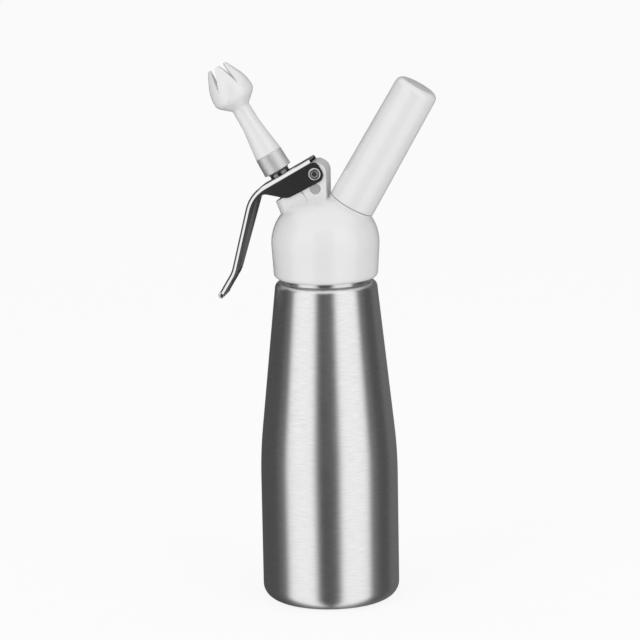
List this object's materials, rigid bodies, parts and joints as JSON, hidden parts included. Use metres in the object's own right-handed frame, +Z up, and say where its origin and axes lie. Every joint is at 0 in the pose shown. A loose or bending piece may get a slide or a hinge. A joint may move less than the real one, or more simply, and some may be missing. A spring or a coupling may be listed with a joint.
{
  "type": "whipped cream dispenser",
  "caption": "Tapering metal bottle with a white screw-on head, a pivoted squeeze lever, a tulip nozzle leaning one way and a gas charger holder leaning the other.",
  "frame": {"origin": "centre of the bottle's base, on the surface that it stands on", "axes": "+Z up the bottle axis, +X towards the charger holder, so the nozzle and lever are at -X, and both leaning axes lie in the XZ plane"},
  "size_m": [0.1314, 0.08, 0.3147],
  "materials": {
    "bottle_aluminium": "brushed round the axis, satin",
    "white_plastic": "smooth moulded white, semi-gloss",
    "lever_chrome": "polished chrome plate",
    "pin_steel": "turned steel",
    "spring_steel": "drawn wire",
    "valve_metal": "turned and plated",
    "core_aluminium": "machined",
    "collar_aluminium": "satin turned",
    "charger_steel": "zinc plated",
    "seal_rubber": "matt rubber"
  },
  "bodies": {
    "root": {"bottle": "bottle_aluminium"},
    "gasket": {"head_gasket": "seal_rubber"},
    "head": {"head_shell": "white_plastic", "head_core": "core_aluminium", "core_pin": "core_aluminium", "lever_pin": "pin_steel", "valve_guide": "valve_metal", "stem_o_ring": "seal_rubber", "valve_spring": "spring_steel", "charger_stud": "core_aluminium", "piercing_pin": "pin_steel", "charger_seal": "seal_rubber", "check_valve": "seal_rubber"},
    "lever": {"lever": "lever_chrome"},
    "stem": {"valve_stem": "valve_metal", "stem_seal": "seal_rubber"},
    "washer": {"tip_washer": "seal_rubber"},
    "tip": {"nozzle_tip": "white_plastic", "tip_collar": "collar_aluminium"},
    "cartridge": {"gas_charger": "charger_steel"},
    "holder": {"charger_holder": "white_plastic"}
  },
  "joints": [
    {"name": "head_rise", "type": "slide", "parent": "root", "child": "gasket", "axis": [0, 0, 1], "range_m": [0, 0.01575]},
    {"name": "head_turn", "type": "hinge", "parent": "gasket", "child": "head", "pos_m": [0, 0, 0.2], "axis": [0, 0, 1], "range_deg": [0, 1262]},
    {"name": "lever_pivot", "type": "hinge", "parent": "head", "child": "lever", "pos_m": [-0.00401, 0, 0.25165], "axis": [0, -1, 0], "range_deg": [0, 8.5], "stiffness_Nm_per_rad": 0.9, "springref_deg": -8.59},
    {"name": "stem_slide", "type": "slide", "parent": "head", "child": "stem", "axis": [0.5, 0, -0.866], "range_m": [0, 0.0041], "deforming": ["valve_spring"]},
    {"name": "tip_rise", "type": "slide", "parent": "stem", "child": "washer", "axis": [-0.5, 0, 0.866], "range_m": [0, 0.00975]},
    {"name": "tip_turn", "type": "hinge", "parent": "washer", "child": "tip", "pos_m": [-0.027, 0, 0.25246], "axis": [-0.5, 0, 0.866], "range_deg": [0, 2345]},
    {"name": "holder_rise", "type": "slide", "parent": "head", "child": "cartridge", "axis": [0.5, 0, 0.866], "range_m": [0, 0.015]},
    {"name": "holder_turn", "type": "hinge", "parent": "cartridge", "child": "holder", "pos_m": [0.0158, 0, 0.23307], "axis": [0.5, 0, 0.866], "range_deg": [0, 1805]}
  ],
  "couplings": [
    {"joint": "head_turn", "follows": "head_rise", "rad_per_m": 1396.3},
    {"joint": "stem_slide", "follows": "lever_pivot", "m_per_rad": 0.0265},
    {"joint": "tip_turn", "follows": "tip_rise", "rad_per_m": 4188.8},
    {"joint": "holder_turn", "follows": "holder_rise", "rad_per_m": 2094.4}
  ]
}
